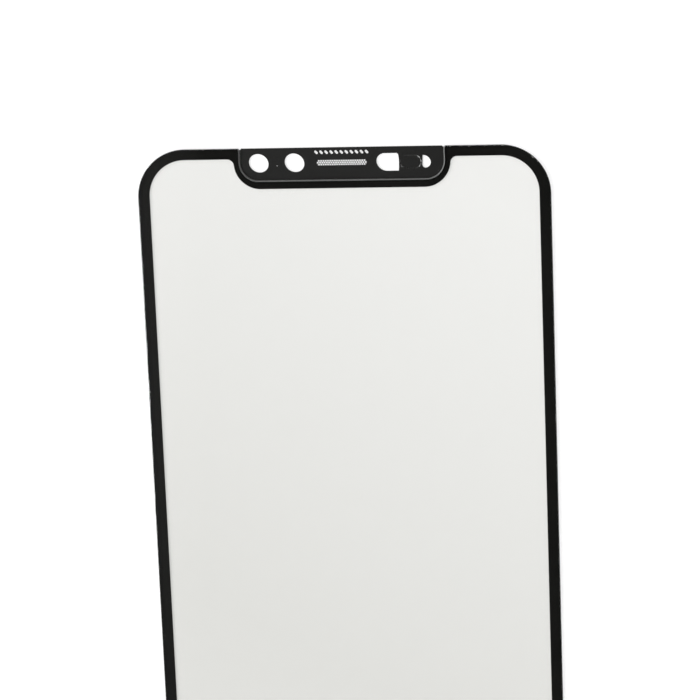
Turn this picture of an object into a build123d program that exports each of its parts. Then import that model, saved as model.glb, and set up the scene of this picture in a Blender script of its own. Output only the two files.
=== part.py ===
"""Screen protector for a phone with a sensor notch, lying flat with its front face up.

X runs across the sheet, Y along it with the notch end at +Y, and Z up from the surface it lies on.
A clear glass sheet is bonded on a black film frame, and a fine mesh sits under the earpiece slot.
"""
import os
from math import cos, radians, tan

from build123d import *

# Glass sheet
glass_width = 67.1
glass_length = 139.9
glass_thickness = 0.3
glass_corner_radius = 7.95
glass_edge_round = 0.2

# Notch cut through the glass, open at the upper edge
notch_width = 33.0
notch_depth = 5.26
notch_corner_radius = 2.9
notch_mouth_round = 0.4

# Black film frame behind the glass, with a tab that fills the notch
film_inset = 0.05
film_thickness = 0.2
border_side = 1.83
border_end = 1.7
opening_corner_radius = 6.0
tab_lap_side = 1.13
tab_lap_end = 1.41
tab_side_lean = 5.0
tab_corner_radius = 4.2
tab_root_round = 1.1
nick_radius = 0.2

# Windows in the tab, placed from the centre line and down from the film's upper edge
window_slant = -31.0
oval_window_long = 3.26
oval_window_short = 2.95
oval_window_drop = 2.42
outer_window_x = -13.48
inner_window_x = -7.65
pin_hole_diameter = 0.15
pin_hole_x = -10.5
pin_hole_drop = 2.9
camera_window_long = 3.16
camera_window_short = 2.78
camera_window_x = 7.18
camera_window_drop = 2.52
camera_window_side_x = 9.27
camera_window_upper_setback = 0.13
camera_window_lower_setback = 0.06
camera_window_round = 0.3
half_window_long = 2.27
half_window_short = 2.0
half_window_x = 13.29
half_window_drop = 2.51
half_window_flat_x = 13.06
half_window_flat_lean = -2.7
half_window_round = 0.5
recess_length = 3.56
recess_height = 2.24
recess_slope = 0.18
recess_depth = 0.08
recess_x = 11.14
recess_drop = 2.52

# Sound openings above the earpiece slot
sound_slot_count = 11
sound_slot_pitch = 0.818
sound_slot_length = 0.69
sound_slot_width = 0.41
sound_slot_slant = -48.0
sound_slot_drop = 0.785

# Earpiece slot and the mesh seated in a pocket behind it
ear_slot_length = 8.27
ear_slot_height = 0.98
ear_slot_drop = 2.49
mesh_lap = 0.5
mesh_thickness = 0.06
mesh_pocket_depth = 0.1
mesh_clearance = 0.05
mesh_hole_width = 0.27
mesh_hole_height = 0.312
mesh_hole_pitch = 0.37
mesh_row_count = 3
mesh_row_pitch = 0.3

# Places that follow from the sizes above
glass_top = glass_length / 2
film_width = glass_width - 2 * film_inset
film_length = glass_length - 2 * film_inset
film_top = film_length / 2
opening_top = film_top - border_end
notch_bottom = glass_top - notch_depth
mesh_length = ear_slot_length + 2 * mesh_lap
mesh_height = ear_slot_height + 2 * mesh_lap


def cut_open_at_top(width, bottom, top, radius, lean=0.0):
    """Return a slot from bottom to past top, with its two lower corners rounded.

    The width is measured at top, and each side leans inwards below it by the given angle.
    """
    rise = top - bottom
    step = rise * tan(radians(lean))
    foot, head = width / 2 - step, width / 2 + step
    slot = make_face(Polyline((-foot, bottom), (foot, bottom), (head, top + rise), (-head, top + rise), close=True))
    return fillet(slot.vertices().group_by(Axis.Y)[0], radius)


def vertices_at(sketch, half_width, y):
    """Return the two corners of a sketch that lie half_width either side of the centre line at height y."""
    return [v for v in sketch.vertices() if abs(abs(v.X) - half_width) < 1e-4 and abs(v.Y - y) < 1e-4]


def slanted_oval(long_size, short_size):
    """Return an oval window with its long axis turned by the windows' common slant."""
    return Rot(0, 0, window_slant) * Ellipse(long_size / 2, short_size / 2)


def glass_panel():
    """Clear sheet with a rounded front edge and the notch cut out of its upper end."""
    outline = RectangleRounded(glass_width, glass_length, glass_corner_radius)
    outline -= cut_open_at_top(notch_width, notch_bottom, glass_top, notch_corner_radius)
    outline = fillet(vertices_at(outline, notch_width / 2, glass_top), notch_mouth_round)
    sheet = extrude(outline, glass_thickness)
    front_edges = sheet.faces().sort_by(Axis.Z)[-1].edges()
    return Pos(0, 0, film_thickness) * fillet(front_edges, glass_edge_round)


def display_opening():
    """Opening of the film frame over the lit screen, with the tab left standing at its upper end."""
    width = film_width - 2 * border_side
    height = film_length - 2 * border_end
    tab_width = notch_width + 2 * tab_lap_side
    tab_bottom = notch_bottom - tab_lap_end
    side = (opening_top - tab_bottom) / cos(radians(tab_side_lean))
    reach_per_radius = tan(radians((90 - tab_side_lean) / 2))
    tab_radius = min(tab_corner_radius, side / reach_per_radius - tab_root_round - 0.01)
    opening = RectangleRounded(width, height, opening_corner_radius)
    opening -= cut_open_at_top(tab_width, tab_bottom, opening_top, tab_radius, tab_side_lean)
    return fillet(vertices_at(opening, tab_width / 2, opening_top), tab_root_round)


def camera_window():
    """Window with a rounded left end and a slightly bowed right side."""
    oval = slanted_oval(camera_window_long, camera_window_short)
    box = oval.bounding_box()
    upper = max(oval.edges()[0].positions([i / 720 for i in range(720)]), key=lambda p: p.Y)
    side = camera_window_side_x - camera_window_x
    top_right = (side - camera_window_upper_setback, box.max.Y)
    bottom_right = (side - camera_window_lower_setback, box.min.Y)
    outline = Polyline(bottom_right, (-upper.X, box.min.Y), (upper.X, box.max.Y), top_right)
    body = make_face(outline + ThreePointArc(top_right, (side, 0), bottom_right))
    body = fillet(body.vertices().sort_by(Axis.X)[-2:].sort_by(Axis.Y)[-1], camera_window_round)
    return Pos(camera_window_x, film_top - camera_window_drop) * (oval + body)


def half_window():
    """Oval window cut straight on its left side, with the lower corner of the cut rounded."""
    oval = slanted_oval(half_window_long, half_window_short)
    flat = half_window_flat_x - half_window_x
    keep = Pos(half_window_long, 0) * Rectangle(2 * half_window_long, 2 * half_window_long)
    half = oval & (Pos(flat, 0) * Rot(0, 0, half_window_flat_lean) * keep)
    half = fillet(half.vertices().sort_by(Axis.Y)[0], half_window_round)
    return Pos(half_window_x, film_top - half_window_drop) * half


def sound_slots():
    """Row of short slanted slots along the upper edge."""
    slot = SlotOverall(sound_slot_length, sound_slot_width, rotation=sound_slot_slant)
    row = Sketch() + [place * slot for place in GridLocations(sound_slot_pitch, 1, sound_slot_count, 1)]
    return Pos(0, film_top - sound_slot_drop) * row


def windows():
    """Every opening that goes through the tab."""
    oval = slanted_oval(oval_window_long, oval_window_short)
    cuts = Pos(outer_window_x, film_top - oval_window_drop) * oval
    cuts += Pos(inner_window_x, film_top - oval_window_drop) * oval
    cuts += Pos(pin_hole_x, film_top - pin_hole_drop) * Circle(pin_hole_diameter / 2)
    cuts += camera_window()
    cuts += half_window()
    cuts += Pos(0, film_top - ear_slot_drop) * SlotOverall(ear_slot_length, ear_slot_height)
    cuts += sound_slots()
    return cuts


def sloped_recess():
    """Shallow recess with round ends and a sloping rim, from the film's front face down."""
    floor = SlotOverall(recess_length - 2 * recess_slope, recess_height - 2 * recess_slope)
    rim = SlotOverall(recess_length, recess_height)
    return loft([Pos(0, 0, -recess_depth) * floor, rim], ruled=True)


def border_film():
    """Black frame around the screen with the perforated tab, the mesh pocket and the shallow recess."""
    outline = RectangleRounded(film_width, film_length, glass_corner_radius - film_inset)
    outline -= display_opening()
    outline -= windows()
    for side in (-1, 1):
        outline -= Pos(side * notch_width / 2, film_top) * Circle(nick_radius)
    film = extrude(outline, film_thickness)
    pocket = Rectangle(mesh_length + 2 * mesh_clearance, mesh_height + 2 * mesh_clearance)
    film -= Pos(0, film_top - ear_slot_drop) * extrude(pocket, mesh_pocket_depth)
    return film - Pos(recess_x, film_top - recess_drop, film_thickness) * sloped_recess()


def mesh_hole():
    """Six-sided hole with a point at its top and one at its foot."""
    x, y = mesh_hole_width / 2, mesh_hole_height / 2
    return make_face(Polyline((0, y), (x, y / 2), (x, -y / 2), (0, -y), (-x, -y / 2), (-x, y / 2), close=True))


def earpiece_mesh():
    """Thin sheet with staggered rows of six-sided holes behind the earpiece slot."""
    sheet = Rectangle(mesh_length, mesh_height)
    hole = mesh_hole()
    room = ear_slot_length - mesh_hole_width
    for row in range(mesh_row_count):
        offset = row - (mesh_row_count - 1) / 2
        count = int(room / mesh_hole_pitch) + row % 2
        for place in GridLocations(mesh_hole_pitch, 1, count, 1):
            sheet -= Pos(0, offset * mesh_row_pitch) * place * hole
    seat = mesh_pocket_depth - mesh_thickness
    return Pos(0, film_top - ear_slot_drop, seat) * extrude(sheet, mesh_thickness)


def main():
    os.makedirs("parts", exist_ok=True)
    export_step(glass_panel(), "parts/glass_panel.step")
    export_step(border_film(), "parts/border_film.step")
    export_step(earpiece_mesh(), "parts/earpiece_mesh.step")


if __name__ == "__main__":
    main()
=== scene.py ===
"""Dresses the screen protector: a clear glass sheet, the black film frame behind it and the earpiece mesh."""
import logging
import math
from dataclasses import dataclass
from enum import Enum, IntEnum
from typing import Callable, Sequence

import bmesh
import bpy
from mathutils import Matrix, Vector


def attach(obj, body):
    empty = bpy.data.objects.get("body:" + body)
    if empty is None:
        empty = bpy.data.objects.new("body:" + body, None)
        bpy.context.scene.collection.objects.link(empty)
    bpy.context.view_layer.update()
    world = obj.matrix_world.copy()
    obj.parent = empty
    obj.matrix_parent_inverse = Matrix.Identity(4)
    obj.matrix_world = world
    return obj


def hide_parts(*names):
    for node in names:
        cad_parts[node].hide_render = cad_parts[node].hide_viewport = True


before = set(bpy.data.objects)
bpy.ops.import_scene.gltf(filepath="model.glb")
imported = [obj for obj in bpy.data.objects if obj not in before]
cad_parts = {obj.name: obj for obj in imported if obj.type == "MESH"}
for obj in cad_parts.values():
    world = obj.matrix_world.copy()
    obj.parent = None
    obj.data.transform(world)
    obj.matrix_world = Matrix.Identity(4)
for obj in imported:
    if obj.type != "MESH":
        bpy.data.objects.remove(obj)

LOG = logging.getLogger("screen_protector")
Colour = tuple[float, float, float]
Element = bmesh.types.BMVert | bmesh.types.BMEdge | bmesh.types.BMFace

MM = 0.001  # metres in a millimetre
DOUBLE = 1e-5  # points closer than this are one point
NEAR = 1e-3  # points closer than this lie at the same place or height
HAIR = 0.002  # what a cut leaves narrower than this is merged
OVERSHOOT = 1.0  # a cutter reaches about this far past what it cuts
LEVEL = 0.99  # a face is level when its normal has more than this along Z


class Reach(Enum):
    """How a cutter goes into the film."""

    THROUGH = "through"
    FROM_FRONT = "front"
    FROM_BACK = "back"


class Pick(Enum):
    """What a selection in edit mode is made of."""

    CORNERS = "VERT"
    EDGES = "EDGE"
    FACES = "FACE"

    def of(self, mesh: bmesh.types.BMesh) -> bmesh.types.BMElemSeq:
        """Return the mesh's corners, edges or faces."""
        return {Pick.CORNERS: mesh.verts, Pick.EDGES: mesh.edges, Pick.FACES: mesh.faces}[self]


class SheetFace(IntEnum):
    """The finish that a face of the glass sheet takes."""

    CLEAR = 0
    OUTER_RIM = 1
    NOTCH_RIM = 2


class FilmFace(IntEnum):
    """The finish that a face of the film takes."""

    BARE = 0
    BONDED = 1
    RECESS_SLOPE = 2


class Bench:
    """Modelling steps shared by the pieces. Sizes are millimetres until a piece is finished."""

    NORMAL_WEIGHT = 100

    @staticmethod
    def clear() -> None:
        """Leave edit mode and deselect everything."""
        if bpy.context.object and bpy.context.object.mode != "OBJECT":
            bpy.ops.object.mode_set(mode="OBJECT")
        bpy.ops.object.select_all(action="DESELECT")

    @staticmethod
    def take(*objects: bpy.types.Object) -> None:
        """Select these objects alone and make the first one active.

        Args:
            objects: what the next operator acts on.
        """
        Bench.clear()
        for obj in objects:
            obj.select_set(True)
        bpy.context.view_layer.objects.active = objects[0]

    @staticmethod
    def edit(obj: bpy.types.Object) -> None:
        """Open an object in edit mode with all of it selected."""
        Bench.take(obj)
        bpy.ops.object.mode_set(mode="EDIT")
        bpy.ops.mesh.select_all(action="SELECT")

    @staticmethod
    def select(obj: bpy.types.Object, what: Pick, test: Callable[[Element], bool]) -> None:
        """Select some corners, edges or faces of an object, and nothing else.

        Args:
            obj: an object in edit mode.
            what: what is selected.
            test: tells whether one of them is selected.
        """
        bpy.ops.mesh.select_mode(type=what.value)
        bpy.ops.mesh.select_all(action="DESELECT")
        mesh = bmesh.from_edit_mesh(obj.data)
        mesh.normal_update()
        for item in what.of(mesh):
            if test(item):
                item.select_set(True)
        bmesh.update_edit_mesh(obj.data)

    @staticmethod
    def rectangle(
        name: str, width: float, height: float, centre: Sequence[float] = (0.0, 0.0)
    ) -> bpy.types.Object:
        """Lay a flat rectangle in the XY plane.

        Args:
            name: the object's name.
            width: size along X.
            height: size along Y.
            centre: X and Y of its middle.

        Returns:
            The new object, with its size and place in its mesh.
        """
        Bench.clear()
        bpy.ops.mesh.primitive_plane_add(size=1.0, location=(centre[0], centre[1], 0.0))
        obj = bpy.context.object
        obj.name = name
        obj.scale = (width, height, 1.0)
        bpy.ops.object.transform_apply(location=True, rotation=True, scale=True)
        return obj

    @staticmethod
    def oval(
        name: str, sizes: Sequence[float], slant: float, centre: Sequence[float], steps: int
    ) -> bpy.types.Object:
        """Lay a flat oval in the XY plane.

        Args:
            name: the object's name.
            sizes: its long and short size.
            slant: turn of the long axis from X, in degrees.
            centre: X and Y of its middle.
            steps: corners round its outline.

        Returns:
            The new object, with its size and place in its mesh.
        """
        Bench.clear()
        bpy.ops.mesh.primitive_circle_add(
            vertices=steps, radius=0.5, fill_type="NGON", location=(*centre, 0.0)
        )
        obj = bpy.context.object
        obj.name = name
        obj.scale = (sizes[0], sizes[1], 1.0)
        obj.rotation_euler = (0.0, 0.0, math.radians(slant))
        bpy.ops.object.transform_apply(location=True, rotation=True, scale=True)
        return obj

    @staticmethod
    def round_corners(
        obj: bpy.types.Object, radius: float, steps: int, pick: Callable[[Vector], bool]
    ) -> None:
        """Round corners of a flat face.

        Args:
            obj: a flat face.
            radius: the corners' radius.
            steps: segments round each corner.
            pick: tells by its place whether a corner is rounded.
        """
        Bench.edit(obj)
        Bench.select(obj, Pick.CORNERS, lambda vert: pick(vert.co))
        bpy.ops.mesh.bevel(offset=radius, segments=steps, profile=0.5, affect="VERTICES", clamp_overlap=False)
        bpy.ops.mesh.select_all(action="SELECT")
        bpy.ops.mesh.remove_doubles(threshold=DOUBLE)
        bpy.ops.object.mode_set(mode="OBJECT")

    @staticmethod
    def thicken(obj: bpy.types.Object, low: float, high: float) -> None:
        """Extrude a flat face into a closed solid.

        Args:
            obj: a flat face at Z 0.
            low: Z of its underside.
            high: Z of its top.
        """
        Bench.edit(obj)
        bpy.ops.transform.translate(value=(0.0, 0.0, low))
        bpy.ops.mesh.extrude_region_move(TRANSFORM_OT_translate={"value": (0.0, 0.0, high - low)})
        bpy.ops.mesh.select_all(action="SELECT")
        bpy.ops.mesh.normals_make_consistent(inside=False)
        bpy.ops.object.mode_set(mode="OBJECT")

    @staticmethod
    def bevel(
        obj: bpy.types.Object, width: float, steps: int, pick: Callable[[bmesh.types.BMEdge], bool]
    ) -> None:
        """Round edges of a solid.

        Args:
            obj: the solid.
            width: how far the rounding reaches from the edge.
            steps: segments across the rounding.
            pick: tells whether an edge is rounded.
        """
        Bench.edit(obj)
        Bench.select(obj, Pick.EDGES, pick)
        bpy.ops.mesh.bevel(offset=width, segments=steps, profile=0.5, affect="EDGES", clamp_overlap=True)
        bpy.ops.object.mode_set(mode="OBJECT")

    @staticmethod
    def join(name: str, parts: Sequence[bpy.types.Object]) -> bpy.types.Object:
        """Make one object of several.

        Args:
            name: the joined object's name.
            parts: what is joined.

        Returns:
            The joined object.
        """
        Bench.take(*parts)
        bpy.ops.object.join()
        parts[0].name = name
        return parts[0]

    @staticmethod
    def cut(obj: bpy.types.Object, cutter: bpy.types.Object) -> None:
        """Cut one solid out of another and remove the cutter.

        Args:
            obj: the solid that is cut.
            cutter: the solid that is taken away.
        """
        Bench.take(obj)
        cut = obj.modifiers.new("cut", "BOOLEAN")
        cut.operation = "DIFFERENCE"
        cut.solver = "EXACT"
        cut.use_self = True
        cut.object = cutter
        bpy.ops.object.modifier_apply(modifier=cut.name)
        bpy.data.objects.remove(cutter, do_unlink=True)

    @staticmethod
    def clean(obj: bpy.types.Object) -> None:
        """Merge what the cuts left closer than a hair, and fill the level faces anew with triangles.

        Args:
            obj: a solid after its cuts.
        """
        Bench.edit(obj)
        bpy.ops.mesh.remove_doubles(threshold=HAIR)
        mesh = bmesh.from_edit_mesh(obj.data)
        mesh.normal_update()
        levels = sorted({round(face.verts[0].co.z, 4) for face in mesh.faces if abs(face.normal.z) > LEVEL})
        for level in levels:
            Bench.fill_level(obj, level)
        bpy.ops.mesh.select_all(action="SELECT")
        bpy.ops.mesh.normals_make_consistent(inside=False)
        bpy.ops.object.mode_set(mode="OBJECT")

    @staticmethod
    def fill_level(obj: bpy.types.Object, level: float) -> None:
        """Replace the level faces at one height by triangles.

        Args:
            obj: a solid in edit mode.
            level: Z of the faces.
        """

        def lies_there(item: bmesh.types.BMFace | bmesh.types.BMEdge) -> bool:
            """Tell whether all corners of a face or an edge are at the level."""
            return all(abs(vert.co.z - level) < NEAR for vert in item.verts)

        Bench.select(obj, Pick.FACES, lies_there)
        bpy.ops.mesh.delete(type="FACE")
        Bench.select(obj, Pick.EDGES, lambda edge: edge.is_boundary and lies_there(edge))
        bpy.ops.mesh.fill(use_beauty=True)

    @staticmethod
    def repeat(obj: bpy.types.Object, count: int, pitch: float) -> None:
        """Copy a solid along X, with the row centred where the first one was.

        Args:
            obj: the solid, repeated in its own mesh.
            count: how many there are.
            pitch: distance from one to the next.
        """
        Bench.edit(obj)
        bpy.ops.transform.translate(value=(-pitch * (count - 1) / 2, 0.0, 0.0))
        bpy.ops.object.mode_set(mode="OBJECT")
        row = obj.modifiers.new("row", "ARRAY")
        row.count = count
        row.use_relative_offset = False
        row.use_constant_offset = True
        row.constant_offset_displace = (pitch, 0.0, 0.0)
        bpy.ops.object.modifier_apply(modifier=row.name)

    @staticmethod
    def finish(obj: bpy.types.Object, node: str, slot: str, smooth: float) -> None:
        """Shade a solid, bring it to metres and put it in the place of its CAD node.

        Args:
            obj: the finished solid, in millimetres.
            node: the CAD node that it stands for.
            slot: the record's material slot; not used.
            smooth: edges up to this angle are shaded smooth, in degrees.
        """
        Bench.take(obj)
        obj.scale = (MM, MM, MM)
        bpy.ops.object.transform_apply(location=True, rotation=True, scale=True)
        bpy.ops.object.shade_smooth_by_angle(angle=math.radians(smooth))
        weight = obj.modifiers.new("weight", "WEIGHTED_NORMAL")
        weight.keep_sharp = True
        weight.weight = Bench.NORMAL_WEIGHT
        bpy.ops.object.modifier_apply(modifier=weight.name)
        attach(obj, "root")
        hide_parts(node)


def at_rim(edge: bmesh.types.BMEdge, normal_z: float) -> bool:
    """Tell whether an edge joins a level face to a wall that falls away from it.

    Args:
        edge: an edge of a solid.
        normal_z: 1 for the front face, -1 for the back.

    Returns:
        True on the rim of that face.
    """
    walls = [face for face in edge.link_faces if face.normal.z * normal_z < LEVEL]
    if len(edge.link_faces) != 2 or len(walls) != 1:
        return False
    return (walls[0].calc_center_median().z - edge.verts[0].co.z) * normal_z < 0.0


def upright_at(edge: bmesh.types.BMEdge, half_width: float, y: float) -> bool:
    """Tell whether an edge stands upright at a place either side of the centre line.

    Args:
        edge: an edge of a solid.
        half_width: its distance from the centre line.
        y: its place along the sheet.

    Returns:
        True for the upright edge there.
    """
    ends = [vert.co for vert in edge.verts]
    there = all(abs(abs(p.x) - half_width) < NEAR and abs(p.y - y) < NEAR for p in ends)
    return there and abs(ends[0].z - ends[1].z) > NEAR


class Nodes:
    """A material's node tree, with the steps that the finishes share."""

    def __init__(self, name: str) -> None:
        """Start a material of this name with an empty tree."""
        self.material = bpy.data.materials.new(name)
        self.material.use_nodes = True
        self.tree = self.material.node_tree
        self.tree.nodes.clear()
        self.output = self.add("ShaderNodeOutputMaterial")

    def add(self, kind: str, **values: object) -> bpy.types.Node:
        """Add a node and set its properties."""
        node = self.tree.nodes.new(kind)
        for key, value in values.items():
            setattr(node, key, value)
        return node

    def link(self, source: bpy.types.NodeSocket, target: bpy.types.NodeSocket) -> None:
        """Join two sockets."""
        self.tree.links.new(source, target)

    def surface_group(self, cloud: float, speckle: float) -> bpy.types.Node:
        """Place the shared group of slow clouding and fine speckle.

        Args:
            cloud: the clouding's scale, in waves per metre.
            speckle: the speckle's scale, in waves per metre.

        Returns:
            The group's node, which reads Object coordinates.
        """
        place = self.add("ShaderNodeTexCoord")
        group = self.add("ShaderNodeGroup", node_tree=SurfaceGroup.tree())
        group.inputs["Cloud Scale"].default_value = cloud
        group.inputs["Speckle Scale"].default_value = speckle
        self.link(place.outputs["Object"], group.inputs["Position"])
        return group

    def spread(self, source: bpy.types.NodeSocket, low: float, high: float) -> bpy.types.NodeSocket:
        """Map a mask from 0 to 1 onto a range.

        Args:
            source: the mask.
            low: what 0 becomes.
            high: what 1 becomes.

        Returns:
            The mapped value.
        """
        node = self.add("ShaderNodeMapRange")
        node.inputs["To Min"].default_value = low
        node.inputs["To Max"].default_value = high
        self.link(source, node.inputs["Value"])
        return node.outputs["Result"]

    def blend(self, mask: bpy.types.NodeSocket, low: Colour, high: Colour) -> bpy.types.NodeSocket:
        """Blend two colours by a mask.

        Args:
            mask: 0 for the first colour and 1 for the second.
            low: the first colour.
            high: the second colour.

        Returns:
            The blended colour.
        """
        node = self.add("ShaderNodeMix", data_type="RGBA")
        colours = [socket for socket in node.inputs if socket.type == "RGBA"]
        colours[0].default_value = (*low, 1.0)
        colours[1].default_value = (*high, 1.0)
        self.link(mask, node.inputs[0])
        return next(socket for socket in node.outputs if socket.type == "RGBA")


class SurfaceGroup:
    """The shader group that gives every finish its slow clouding and fine speckle."""

    NAME = "clouding_and_speckle"
    DETAIL = {"Cloud": 3.0, "Speckle": 1.0}
    LOW = 0.3
    HIGH = 0.7

    @classmethod
    def tree(cls) -> bpy.types.NodeTree:
        """Return the group, built on its first use."""
        if cls.NAME in bpy.data.node_groups:
            return bpy.data.node_groups[cls.NAME]
        tree = bpy.data.node_groups.new(cls.NAME, "ShaderNodeTree")
        face = tree.interface
        face.new_socket("Position", in_out="INPUT", socket_type="NodeSocketVector")
        face.new_socket("Cloud Scale", in_out="INPUT", socket_type="NodeSocketFloat")
        face.new_socket("Speckle Scale", in_out="INPUT", socket_type="NodeSocketFloat")
        face.new_socket("Cloud", in_out="OUTPUT", socket_type="NodeSocketFloat")
        face.new_socket("Speckle", in_out="OUTPUT", socket_type="NodeSocketFloat")
        inside = tree.nodes.new("NodeGroupInput")
        outside = tree.nodes.new("NodeGroupOutput")
        for name, detail in cls.DETAIL.items():
            noise = tree.nodes.new("ShaderNodeTexNoise")
            noise.inputs["Detail"].default_value = detail
            spread = tree.nodes.new("ShaderNodeMapRange")
            spread.inputs["From Min"].default_value = cls.LOW
            spread.inputs["From Max"].default_value = cls.HIGH
            tree.links.new(inside.outputs["Position"], noise.inputs["Vector"])
            tree.links.new(inside.outputs[f"{name} Scale"], noise.inputs["Scale"])
            tree.links.new(noise.outputs["Fac"], spread.inputs["Value"])
            tree.links.new(spread.outputs["Result"], outside.inputs[name])
        return tree


@dataclass(frozen=True)
class ClearGlass:
    """Polished clear glass with a slight grey cast, and painted shade in its base colour that darkens it
    towards the sheet's lower left.
    """

    name: str = "clear_glass"
    # The two tints below are the ends of painted shade across the sheet: the first at its lit upper right,
    # the second at its shaded lower left; both also carry the glass's own grey cast.
    lit_tint: Colour = (0.879, 0.88, 0.859)
    painted_shade_tint: Colour = (0.747, 0.747, 0.719)
    shade_direction: tuple[float, float, float] = (0.6, 1.0, 0.0)
    shade_from: float = -0.02
    shade_to: float = 0.075
    roughness: tuple[float, float] = (0.0, 0.012)
    lamp_tint: Colour = (0.96, 0.96, 0.96)
    ior: float = 1.5
    cloud_scale: float = 60.0
    speckle_scale: float = 500.0

    def material(self) -> bpy.types.Material:
        """Return the material."""
        nodes = Nodes(self.name)
        group = nodes.surface_group(self.cloud_scale, self.speckle_scale)
        # Painted shade: the base colour blends from the lit tint to the shaded tint along shade_direction,
        # darker towards the sheet's lower left.
        place = nodes.add("ShaderNodeTexCoord")
        across = nodes.add("ShaderNodeVectorMath", operation="DOT_PRODUCT")
        across.inputs[1].default_value = self.shade_direction
        nodes.link(place.outputs["Object"], across.inputs[0])
        shade = nodes.add("ShaderNodeMapRange")
        shade.inputs["From Min"].default_value = self.shade_from
        shade.inputs["From Max"].default_value = self.shade_to
        nodes.link(across.outputs["Value"], shade.inputs["Value"])
        shader = nodes.add("ShaderNodeBsdfPrincipled")
        shader.inputs["Transmission Weight"].default_value = 1.0
        shader.inputs["IOR"].default_value = self.ior
        tint_and_painted_shade = nodes.blend(shade.outputs["Result"], self.painted_shade_tint, self.lit_tint)
        nodes.link(tint_and_painted_shade, shader.inputs["Base Color"])
        nodes.link(nodes.spread(group.outputs["Speckle"], *self.roughness), shader.inputs["Roughness"])
        lamp = nodes.add("ShaderNodeBsdfTransparent")
        lamp.inputs["Color"].default_value = (*self.lamp_tint, 1.0)
        path = nodes.add("ShaderNodeLightPath")
        either = nodes.add("ShaderNodeMath", operation="MAXIMUM")
        nodes.link(path.outputs["Is Shadow Ray"], either.inputs[0])
        nodes.link(path.outputs["Is Diffuse Ray"], either.inputs[1])
        mix = nodes.add("ShaderNodeMixShader")
        nodes.link(either.outputs[0], mix.inputs[0])
        nodes.link(shader.outputs[0], mix.inputs[1])
        nodes.link(lamp.outputs[0], mix.inputs[2])
        nodes.link(mix.outputs[0], nodes.output.inputs["Surface"])
        return nodes.material


@dataclass(frozen=True)
class GlassEdge:
    """A rounded rim of the sheet, polished, or ground so that it scatters some of the light that meets it."""

    name: str = "polished_edge"
    dark: Colour = (0.62, 0.64, 0.62)
    pale: Colour = (0.78, 0.80, 0.78)
    roughness: tuple[float, float] = (0.03, 0.06)
    transmission: float = 1.0
    ior: float = 1.6
    cloud_scale: float = 150.0
    speckle_scale: float = 2000.0

    def material(self) -> bpy.types.Material:
        """Return the material."""
        nodes = Nodes(self.name)
        group = nodes.surface_group(self.cloud_scale, self.speckle_scale)
        shader = nodes.add("ShaderNodeBsdfPrincipled")
        shader.inputs["Transmission Weight"].default_value = self.transmission
        shader.inputs["IOR"].default_value = self.ior
        nodes.link(nodes.blend(group.outputs["Cloud"], self.dark, self.pale), shader.inputs["Base Color"])
        nodes.link(nodes.spread(group.outputs["Speckle"], *self.roughness), shader.inputs["Roughness"])
        nodes.link(shader.outputs[0], nodes.output.inputs["Surface"])
        return nodes.material


@dataclass(frozen=True)
class BlackFilm:
    """Smooth black film with a fine satin grain."""

    name: str = "black_film"
    dark: Colour = (0.006, 0.006, 0.0055)
    pale: Colour = (0.009, 0.009, 0.0082)
    shine: float = 0.33
    roughness: tuple[float, float] = (0.38, 0.5)
    grain: float = 0.06
    grain_height: float = 2e-5
    cloud_scale: float = 90.0
    speckle_scale: float = 7000.0

    def material(self) -> bpy.types.Material:
        """Return the material."""
        nodes = Nodes(self.name)
        group = nodes.surface_group(self.cloud_scale, self.speckle_scale)
        shader = nodes.add("ShaderNodeBsdfPrincipled")
        shader.inputs["Specular IOR Level"].default_value = self.shine
        bump = nodes.add("ShaderNodeBump")
        bump.inputs["Strength"].default_value = self.grain
        bump.inputs["Distance"].default_value = self.grain_height
        nodes.link(group.outputs["Speckle"], bump.inputs["Height"])
        nodes.link(bump.outputs["Normal"], shader.inputs["Normal"])
        nodes.link(nodes.blend(group.outputs["Cloud"], self.dark, self.pale), shader.inputs["Base Color"])
        nodes.link(nodes.spread(group.outputs["Speckle"], *self.roughness), shader.inputs["Roughness"])
        nodes.link(shader.outputs[0], nodes.output.inputs["Surface"])
        return nodes.material


@dataclass(frozen=True)
class SteelMesh:
    """Plain fine steel with a faint rolled grain."""

    name: str = "steel_mesh"
    dark: Colour = (0.17, 0.17, 0.165)
    pale: Colour = (0.23, 0.23, 0.225)
    roughness: tuple[float, float] = (0.42, 0.55)
    cloud_scale: float = 900.0
    speckle_scale: float = 15000.0

    def material(self) -> bpy.types.Material:
        """Return the material."""
        nodes = Nodes(self.name)
        group = nodes.surface_group(self.cloud_scale, self.speckle_scale)
        shader = nodes.add("ShaderNodeBsdfPrincipled")
        shader.inputs["Metallic"].default_value = 1.0
        nodes.link(nodes.blend(group.outputs["Cloud"], self.dark, self.pale), shader.inputs["Base Color"])
        nodes.link(nodes.spread(group.outputs["Speckle"], *self.roughness), shader.inputs["Roughness"])
        nodes.link(shader.outputs[0], nodes.output.inputs["Surface"])
        return nodes.material


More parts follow.
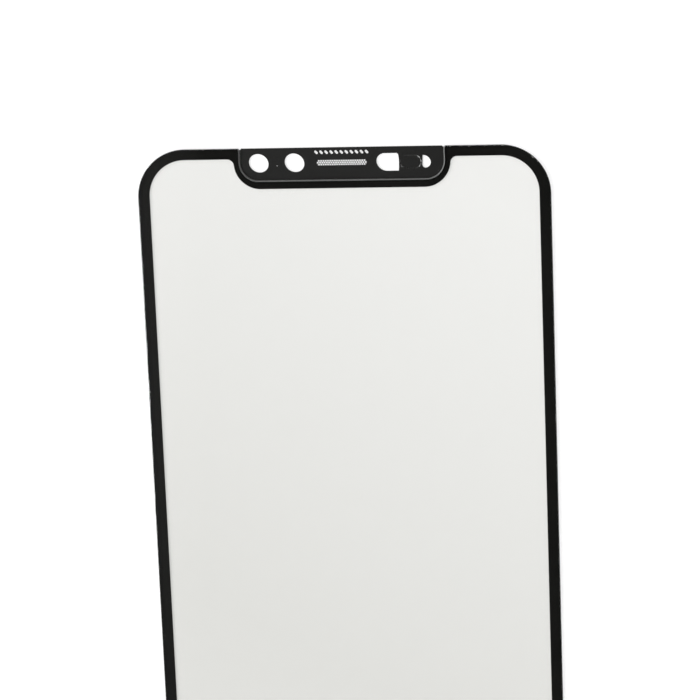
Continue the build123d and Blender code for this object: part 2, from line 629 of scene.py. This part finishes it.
@dataclass
class GlassSheet:
    """The clear sheet with a polished outer rim, and the notch with its ground rim at the upper end."""

    width: float = 67.1
    length: float = 139.9
    low: float = 0.2
    high: float = 0.5
    corner_radius: float = 7.95
    corner_steps: int = 32
    edge_round: float = 0.2
    edge_steps: int = 8
    back_chamfer: float = 0.03
    chamfer_steps: int = 2
    notch_width: float = 33.0
    notch_depth: float = 5.26
    notch_radius: float = 2.9
    notch_steps: int = 24
    mouth_round: float = 0.4
    mouth_steps: int = 10
    rim_margin: float = 0.3  # faces this close to the notch belong to its rim
    flat_normal: float = 0.999
    smooth_angle: float = 35.0
    glass: ClearGlass = ClearGlass()
    outer_rim: GlassEdge = GlassEdge()
    notch_rim: GlassEdge = GlassEdge(
        "ground_edge",
        dark=(0.4, 0.41, 0.4),
        pale=(0.46, 0.47, 0.46),
        roughness=(0.4, 0.43),
        transmission=0.8,
    )

    def build(self) -> bpy.types.Object:
        """Return the sheet, modelled from a rectangle."""
        top = self.length / 2
        sheet = Bench.rectangle("glass_sheet", self.width, self.length)
        Bench.round_corners(sheet, self.corner_radius, self.corner_steps, lambda p: True)
        Bench.thicken(sheet, self.low, self.high)
        notch = Bench.rectangle("notch_cut", self.notch_width, 2 * self.notch_depth, (0.0, top))
        Bench.round_corners(notch, self.notch_radius, self.notch_steps, lambda p: p.y < top)
        Bench.thicken(notch, self.low - OVERSHOOT, self.high + OVERSHOOT)
        Bench.cut(sheet, notch)
        half = self.notch_width / 2
        Bench.bevel(sheet, self.mouth_round, self.mouth_steps, lambda e: upright_at(e, half, top))
        Bench.bevel(sheet, self.edge_round, self.edge_steps, lambda e: at_rim(e, 1.0))
        Bench.bevel(sheet, self.back_chamfer, self.chamfer_steps, lambda e: at_rim(e, -1.0))
        return sheet

    def kind(self, face: bpy.types.MeshPolygon) -> SheetFace:
        """Tell which finish a face takes.

        Args:
            face: a face of the sheet.

        Returns:
            Clear glass for a level face, and otherwise the rim that it lies on.
        """
        if abs(face.normal.z) >= self.flat_normal:
            return SheetFace.CLEAR
        across = abs(face.center.x) < self.notch_width / 2 + self.rim_margin
        above = face.center.y > self.length / 2 - self.notch_depth - self.rim_margin
        return SheetFace.NOTCH_RIM if across and above else SheetFace.OUTER_RIM

    def dress(self, sheet: bpy.types.Object) -> None:
        """Give the faces their finishes.

        Args:
            sheet: the modelled sheet.
        """
        for finish in (self.glass, self.outer_rim, self.notch_rim):
            sheet.data.materials.append(finish.material())
        for face in sheet.data.polygons:
            face.material_index = self.kind(face)
        Bench.finish(sheet, "glass_panel", "clear_glass", self.smooth_angle)


@dataclass(frozen=True)
class Window:
    """An opening in the tab: its middle, across and down from the upper edge, and its sizes.

    Where it is an oval, steps says how many corners its outline has.
    """

    x: float
    drop: float
    long_size: float
    short_size: float
    steps: int = 72


@dataclass
class BorderFilm:
    """The black frame behind the glass and the tab that fills the notch."""

    width: float = 67.0
    length: float = 139.8
    thickness: float = 0.2
    bond: float = 0.004  # how far it rises into the glass, so that their faces don't coincide
    corner_radius: float = 7.9
    corner_steps: int = 32
    side: float = 1.83
    end: float = 1.7
    opening_radius: float = 6.0
    opening_steps: int = 28
    tab_width: float = 35.26
    tab_depth: float = 6.62
    tab_lean: float = 5.0
    tab_radius: float = 4.2
    root_round: float = 1.1
    root_steps: int = 10
    nick_x: float = 16.5
    nick_radius: float = 0.2
    nick_steps: int = 24
    slant: float = -31.0
    notch_width: float = 33.0
    notch_depth: float = 5.21
    notch_radius: float = 2.9
    notch_steps: int = 24
    outer_window: Window = Window(-13.48, 2.42, 3.26, 2.95)
    inner_window: Window = Window(-7.65, 2.42, 3.26, 2.95)
    camera_window: Window = Window(7.18, 2.52, 3.16, 2.78)
    camera_side_x: float = 9.27
    camera_upper_setback: float = 0.13
    camera_lower_setback: float = 0.06
    camera_round: float = 0.3
    camera_steps: int = 8
    camera_bow_cuts: int = 15
    half_window: Window = Window(13.29, 2.51, 2.27, 2.0)
    half_flat_x: float = 13.06
    half_flat_lean: float = -2.7
    half_round: float = 0.5
    half_round_centre: tuple[float, float] = (13.536, 66.865)
    half_round_steps: int = 11
    half_round_turn: float = 9.0
    pin_hole: Window = Window(-10.5, 2.9, 0.15, 0.15, steps=24)
    recess: Window = Window(11.14, 2.52, 3.56, 2.24)
    recess_slope: float = 0.18
    recess_depth: float = 0.08
    slope_spread: float = 0.05
    ear_slot: Window = Window(0.0, 2.49, 8.27, 0.98)
    pocket: Window = Window(0.0, 2.49, 9.37, 2.08)
    pocket_depth: float = 0.1
    sound_slot: Window = Window(0.0, 0.785, 0.69, 0.41)
    sound_slant: float = -48.0
    sound_count: int = 11
    sound_pitch: float = 0.818
    slot_steps: int = 12
    smooth_angle: float = 18.0
    bare: BlackFilm = BlackFilm()
    bonded: BlackFilm = BlackFilm("bonded_film", shine=0.0)
    slope: BlackFilm = BlackFilm("recess_rim", shine=0.6, roughness=(0.25, 0.3), grain=0.0)

    @property
    def top(self) -> float:
        """Y of the film's upper edge."""
        return self.length / 2

    def reach(self, cutter: bpy.types.Object, how: Reach, depth: float = 0.0) -> bpy.types.Object:
        """Give a flat cutter its depth.

        Args:
            cutter: the flat outline.
            how: where it goes in.
            depth: how deep, for a cut that stops short.

        Returns:
            The cutter, as a solid.
        """
        spans = {
            Reach.THROUGH: (-OVERSHOOT, 2 * OVERSHOOT),
            Reach.FROM_FRONT: (self.thickness - depth, OVERSHOOT),
            Reach.FROM_BACK: (-OVERSHOOT, depth),
        }
        Bench.thicken(cutter, *spans[how])
        return cutter

    def spot(self, window: Window) -> tuple[float, float]:
        """Return the place of a window's middle."""
        return (window.x, self.top - window.drop)

    def oval_cut(self, name: str, window: Window) -> bpy.types.Object:
        """Return a slanted oval outline for a window."""
        sizes = (window.long_size, window.short_size)
        return Bench.oval(name, sizes, self.slant, self.spot(window), window.steps)

    def slot_cut(self, name: str, window: Window, slant: float = 0.0) -> bpy.types.Object:
        """Return an outline with round ends.

        Args:
            name: the outline's name.
            window: its place and sizes.
            slant: its turn from X, in degrees.

        Returns:
            The flat outline.
        """
        slot = Bench.rectangle(name, window.long_size, window.short_size)
        Bench.round_corners(slot, window.short_size / 2, self.slot_steps, lambda p: True)
        Bench.take(slot)
        slot.location = (*self.spot(window), 0.0)
        slot.rotation_euler = (0.0, 0.0, math.radians(slant))
        bpy.ops.object.transform_apply(location=True, rotation=True, scale=True)
        return slot

    def opening(self) -> bpy.types.Object:
        """Return the cutter for the screen opening, with the tab left standing."""
        y = self.top - self.end
        opening = Bench.rectangle("opening", self.width - 2 * self.side, self.length - 2 * self.end)
        Bench.round_corners(opening, self.opening_radius, self.opening_steps, lambda p: True)
        self.reach(opening, Reach.THROUGH)
        tab = Bench.rectangle("tab", self.tab_width, 2 * (self.tab_depth - self.end), (0.0, y))
        for vert in tab.data.vertices:
            vert.co.x += math.copysign(math.tan(math.radians(self.tab_lean)), vert.co.x) * (vert.co.y - y)
        reach = 1.0 / math.tan(math.radians((90.0 + self.tab_lean) / 2))
        Bench.round_corners(tab, self.tab_radius * reach, self.opening_steps, lambda p: p.y < y)
        Bench.thicken(tab, -2 * OVERSHOOT, 2 * OVERSHOOT)
        Bench.cut(opening, tab)
        half = self.tab_width / 2
        Bench.bevel(opening, self.root_round * reach, self.root_steps, lambda e: upright_at(e, half, y))
        return opening

    def camera_cut(self) -> list[bpy.types.Object]:
        """Return the outlines of the window with a round left end and a slightly bowed right side."""
        window = self.camera_window
        turn = math.radians(self.slant)
        a, b = window.long_size / 2, window.short_size / 2
        half = math.hypot(a * math.sin(turn), b * math.cos(turn))
        lean = (a * a - b * b) * math.sin(turn) * math.cos(turn) / half
        x, y = self.spot(window)
        side = self.camera_side_x
        body = Bench.rectangle("camera_body", side - x, 2 * half, ((side + x) / 2, y))
        Bench.round_corners(body, self.camera_round, self.camera_steps, lambda p: p.x > x + NEAR and p.y > y)
        Bench.edit(body)
        Bench.select(body, Pick.EDGES, lambda edge: all(abs(vert.co.x - side) < NEAR for vert in edge.verts))
        bpy.ops.mesh.subdivide(number_cuts=self.camera_bow_cuts)
        bpy.ops.object.mode_set(mode="OBJECT")
        for vert in body.data.vertices:
            share = (vert.co.y - y) / half
            if abs(vert.co.x - x) < NEAR:
                vert.co.x += lean * share
            else:
                setback = self.camera_upper_setback if share > 0 else self.camera_lower_setback
                vert.co.x -= setback * share * share
        return [self.oval_cut("camera_end", window), body]

    def half_cut(self) -> bpy.types.Object:
        """Return the outline of the oval window that is straight on its left side and rounded below it."""
        half = self.oval_cut("half_window", self.half_window)
        turn = math.radians(self.half_flat_lean)
        planes = [((self.half_flat_x, self.spot(self.half_window)[1]), turn)]
        for step in range(1, self.half_round_steps + 1):
            angle = turn + math.radians(self.half_round_turn * step)
            x = self.half_round_centre[0] - self.half_round * math.cos(angle)
            y = self.half_round_centre[1] - self.half_round * math.sin(angle)
            planes.append(((x, y), angle))
        Bench.edit(half)
        for place, angle in planes:
            bpy.ops.mesh.select_all(action="SELECT")
            bpy.ops.mesh.bisect(
                plane_co=(*place, 0.0), plane_no=(math.cos(angle), math.sin(angle), 0.0), clear_inner=True
            )
        bpy.ops.object.mode_set(mode="OBJECT")
        return half

    def recess_cut(self) -> bpy.types.Object:
        """Return the cutter for the shallow recess, with its sloping rim."""
        recess = self.slot_cut("recess", self.recess)
        Bench.thicken(recess, self.thickness, OVERSHOOT)
        Bench.edit(recess)
        Bench.select(recess, Pick.FACES, lambda face: face.normal.z < -LEVEL)
        bpy.ops.mesh.inset(thickness=self.recess_slope)
        bpy.ops.transform.translate(value=(0.0, 0.0, -self.recess_depth))
        bpy.ops.object.mode_set(mode="OBJECT")
        return recess

    def bare_floor(self) -> bpy.types.Object:
        """Return the cutter that leaves the film in the notch level with the glass's underside."""
        floor = Bench.rectangle("bare_floor", self.notch_width, 2 * self.notch_depth, (0.0, self.top))
        Bench.round_corners(floor, self.notch_radius, self.notch_steps, lambda p: p.y < self.top)
        return self.reach(floor, Reach.FROM_FRONT)

    def sound_cut(self) -> bpy.types.Object:
        """Return the row of slanted sound slots."""
        slot = self.slot_cut("sound_slots", self.sound_slot, self.sound_slant)
        Bench.repeat(slot, self.sound_count, self.sound_pitch)
        return slot

    def cutters(self) -> list[bpy.types.Object]:
        """Return the solids that are taken out of the film."""
        flat = [
            self.oval_cut("outer", self.outer_window),
            self.oval_cut("inner", self.inner_window),
            self.oval_cut("pin", self.pin_hole),
            *self.camera_cut(),
            self.half_cut(),
            self.sound_cut(),
            self.slot_cut("ear_slot", self.ear_slot),
        ]
        nick_sizes = (2 * self.nick_radius, 2 * self.nick_radius)
        for side in (-1, 1):
            flat.append(Bench.oval("nick", nick_sizes, 0.0, (side * self.nick_x, self.top), self.nick_steps))
        solids = [self.reach(outline, Reach.THROUGH) for outline in flat]
        seat = self.pocket
        pocket = Bench.rectangle("pocket", seat.long_size, seat.short_size, self.spot(seat))
        self.reach(pocket, Reach.FROM_BACK, self.pocket_depth)
        return [self.opening(), self.recess_cut(), pocket, *solids]

    def build(self) -> bpy.types.Object:
        """Return the film, modelled from a rectangle."""
        film = Bench.rectangle("border_frame", self.width, self.length)
        Bench.round_corners(film, self.corner_radius, self.corner_steps, lambda p: True)
        Bench.thicken(film, 0.0, self.thickness + self.bond)
        Bench.cut(film, self.bare_floor())
        Bench.cut(film, Bench.join("film_cutters", self.cutters()))
        Bench.clean(film)
        return film

    def kind(self, face: bpy.types.MeshPolygon) -> FilmFace:
        """Tell which finish a face takes.

        Args:
            face: a face of the film.

        Returns:
            Bonded for a face against the glass, the recess's slope for that, and bare for the rest.
        """
        if face.center.z > self.thickness + self.bond / 2:
            return FilmFace.BONDED
        lean = math.cos(math.atan2(self.recess_depth, self.recess_slope))
        leans = abs(face.normal.z - lean) < self.slope_spread
        beside = abs(face.center.x - self.recess.x) <= self.recess.long_size / 2
        return FilmFace.RECESS_SLOPE if leans and beside else FilmFace.BARE

    def dress(self, film: bpy.types.Object) -> None:
        """Give the faces their finishes.

        Args:
            film: the modelled film.
        """
        film.data.materials.clear()
        for finish in (self.bare, self.bonded, self.slope):
            film.data.materials.append(finish.material())
        for face in film.data.polygons:
            face.material_index = self.kind(face)
        Bench.finish(film, "border_film", "black_film", self.smooth_angle)


@dataclass
class EarpieceMesh:
    """The fine metal mesh seated behind the earpiece slot."""

    length: float = 9.27
    height: float = 1.98
    low: float = 0.04
    high: float = 0.1
    y: float = 67.41
    hole_width: float = 0.27
    hole_height: float = 0.312
    hole_pitch: float = 0.37
    row_pitch: float = 0.3
    row_counts: tuple[int, ...] = (21, 22, 21)
    hole_sides: int = 6
    smooth_angle: float = 18.0
    finish: SteelMesh = SteelMesh()

    def build(self) -> bpy.types.Object:
        """Return the mesh, modelled from a rectangle and rows of six-sided holes."""
        sheet = Bench.rectangle("ear_mesh", self.length, self.height, (0.0, self.y))
        Bench.thicken(sheet, self.low, self.high)
        across = self.hole_width / math.cos(math.pi / self.hole_sides)
        rows = []
        for index, count in enumerate(self.row_counts):
            row_y = self.y + (index - (len(self.row_counts) - 1) / 2) * self.row_pitch
            row = Bench.oval("mesh_hole", (across, self.hole_height), 0.0, (0.0, row_y), self.hole_sides)
            Bench.thicken(row, self.low - OVERSHOOT, self.high + OVERSHOOT)
            Bench.repeat(row, count, self.hole_pitch)
            rows.append(row)
        Bench.cut(sheet, Bench.join("mesh_holes", rows))
        Bench.clean(sheet)
        return sheet

    def dress(self, sheet: bpy.types.Object) -> None:
        """Give the mesh its finish.

        Args:
            sheet: the modelled mesh.
        """
        sheet.data.materials.clear()
        sheet.data.materials.append(self.finish.material())
        Bench.finish(sheet, "earpiece_mesh", "steel_mesh", self.smooth_angle)


@dataclass(frozen=True)
class StripLamp:
    """A soft lamp, aimed at its target from a compass angle and a height angle, in degrees."""

    name: str
    azimuth: float
    power: float
    elevation: float = 33.0
    width: float = 0.4
    height: float = 1.6
    distance: float = 2.0
    target: tuple[float, float, float] = (0.0, 0.04, 0.0)

    def build(self) -> None:
        """Add the lamp to the scene, out of the camera's sight."""
        data = bpy.data.lights.new(self.name, "AREA")
        data.shape = "RECTANGLE"
        data.size, data.size_y = self.width, self.height
        data.energy = self.power
        lamp = bpy.data.objects.new(self.name, data)
        bpy.context.scene.collection.objects.link(lamp)
        around, up = math.radians(self.azimuth), math.radians(self.elevation)
        way = Vector((math.cos(up) * math.cos(around), math.cos(up) * math.sin(around), math.sin(up)))
        lamp.location = Vector(self.target) + way * self.distance
        lamp.rotation_euler = way.to_track_quat("Z", "Y").to_euler()
        lamp.visible_camera = False


@dataclass
class Studio:
    """The pale floor, the surroundings and the lamps."""

    floor_size: float = 6.0
    floor_drop: float = 0.00001
    floor_colour: Colour = (0.35, 0.35, 0.35)
    floor_lift: float = 0.72
    horizon: float = 0.9
    horizon_z: float = 0.2
    zenith: float = 0.05
    zenith_z: float = 0.8
    left_glow: float = 0.2
    glow_from_x: float = -0.186
    glow_to_x: float = -0.202
    lamps: tuple[StripLamp, ...] = (
        StripLamp("key", 155.0, 23.0, elevation=27.0, width=0.3, height=1.0),
        StripLamp("side", 196.0, 14.0, width=0.2),
        StripLamp("front", 229.0, 15.0, elevation=28.0, width=0.2, height=1.2),
        StripLamp("back", 97.0, 5.5, elevation=24.0, height=1.0),
        StripLamp("fill", -20.0, 3.0),
        StripLamp("high", 38.5, 3.0, elevation=57.0, width=0.35, height=0.35),
    )

    def floor(self) -> None:
        """Lay the floor, white to the eye, that still takes the protector's shadow."""
        Bench.clear()
        bpy.ops.mesh.primitive_plane_add(size=self.floor_size, location=(0.0, 0.0, -self.floor_drop))
        plane = bpy.context.object
        plane.name = "floor"
        nodes = Nodes("pale_floor")
        paper = nodes.add("ShaderNodeBsdfDiffuse")
        paper.inputs["Color"].default_value = (*self.floor_colour, 1.0)
        lift = nodes.add("ShaderNodeEmission")
        path = nodes.add("ShaderNodeLightPath")
        seen = path.outputs["Is Camera Ray"]
        for name in ("Is Glossy Ray", "Is Transmission Ray"):
            either = nodes.add("ShaderNodeMath", operation="MAXIMUM")
            nodes.link(seen, either.inputs[0])
            nodes.link(path.outputs[name], either.inputs[1])
            seen = either.outputs[0]
        strength = nodes.add("ShaderNodeMath", operation="MULTIPLY")
        strength.inputs[1].default_value = self.floor_lift
        nodes.link(seen, strength.inputs[0])
        nodes.link(strength.outputs[0], lift.inputs["Strength"])
        both = nodes.add("ShaderNodeAddShader")
        nodes.link(paper.outputs[0], both.inputs[0])
        nodes.link(lift.outputs[0], both.inputs[1])
        nodes.link(both.outputs[0], nodes.output.inputs["Surface"])
        plane.data.materials.append(nodes.material)

    def surroundings(self) -> None:
        """Set a white background, and a room pale at the horizon, dim overhead and lighter at its left."""
        world = bpy.data.worlds.new("studio")
        bpy.context.scene.world = world
        world.use_nodes = True
        tree = world.node_tree
        tree.nodes.clear()
        output = tree.nodes.new("ShaderNodeOutputWorld")
        place = tree.nodes.new("ShaderNodeTexCoord")
        split = tree.nodes.new("ShaderNodeSeparateXYZ")
        level = tree.nodes.new("ShaderNodeMapRange")
        level.inputs["From Min"].default_value = self.horizon_z
        level.inputs["From Max"].default_value = self.zenith_z
        level.inputs["To Min"].default_value = self.horizon
        level.inputs["To Max"].default_value = self.zenith
        glow = tree.nodes.new("ShaderNodeMapRange")
        glow.inputs["From Min"].default_value = self.glow_from_x
        glow.inputs["From Max"].default_value = self.glow_to_x
        glow.inputs["To Max"].default_value = self.left_glow
        total = tree.nodes.new("ShaderNodeMath")
        room = tree.nodes.new("ShaderNodeBackground")
        white = tree.nodes.new("ShaderNodeBackground")
        path = tree.nodes.new("ShaderNodeLightPath")
        mix = tree.nodes.new("ShaderNodeMixShader")
        white.inputs["Color"].default_value = (1.0, 1.0, 1.0, 1.0)
        room.inputs["Color"].default_value = (1.0, 1.0, 1.0, 1.0)
        tree.links.new(place.outputs["Generated"], split.inputs[0])
        tree.links.new(split.outputs["Z"], level.inputs["Value"])
        tree.links.new(split.outputs["X"], glow.inputs["Value"])
        tree.links.new(level.outputs["Result"], total.inputs[0])
        tree.links.new(glow.outputs["Result"], total.inputs[1])
        tree.links.new(total.outputs[0], room.inputs["Strength"])
        tree.links.new(path.outputs["Is Camera Ray"], mix.inputs[0])
        tree.links.new(room.outputs[0], mix.inputs[1])
        tree.links.new(white.outputs[0], mix.inputs[2])
        tree.links.new(mix.outputs[0], output.inputs["Surface"])

    def build(self) -> None:
        """Set up the whole studio."""
        self.floor()
        self.surroundings()
        for lamp in self.lamps:
            lamp.build()
        bpy.context.scene.view_settings.view_transform = "Standard"
        LOG.info("studio: %d lamps", len(self.lamps))


@dataclass(frozen=True)
class PhotoCamera:
    """The camera at the photograph's viewing angle."""

    place: tuple[float, float, float] = (0.06792, 0.14752, 0.4709)
    right: tuple[float, float, float] = (0.99031, -0.03831, -0.13351)
    ahead: tuple[float, float, float] = (-0.13874, -0.22735, -0.96388)
    focal_px: float = 3000.0
    image_px: float = 700.0
    sensor: float = 36.0
    clip_start: float = 0.01
    clip_end: float = 50.0

    def build(self) -> None:
        """Add the camera and make it the scene's own."""
        data = bpy.data.cameras.new("photo_camera")
        data.sensor_width = self.sensor
        data.lens = self.sensor * self.focal_px / self.image_px
        data.clip_start, data.clip_end = self.clip_start, self.clip_end
        camera = bpy.data.objects.new("photo_camera", data)
        bpy.context.scene.collection.objects.link(camera)
        ahead = Vector(self.ahead).normalized()
        up = Vector(self.right).cross(ahead).normalized()
        right = ahead.cross(up).normalized()
        turn = Matrix((right, up, -ahead)).transposed()
        camera.matrix_world = Matrix.Translation(self.place) @ turn.to_4x4()
        bpy.context.scene.camera = camera


def main() -> None:
    """Build each piece, the studio and the camera."""
    logging.basicConfig(level=logging.INFO, format="%(message)s")
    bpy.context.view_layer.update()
    for piece in (BorderFilm(), EarpieceMesh(), GlassSheet()):
        shape = piece.build()
        piece.dress(shape)
        LOG.info("%s: %d faces", shape.name, len(shape.data.polygons))
    Studio().build()
    PhotoCamera().build()


if __name__ == "__main__":
    main()
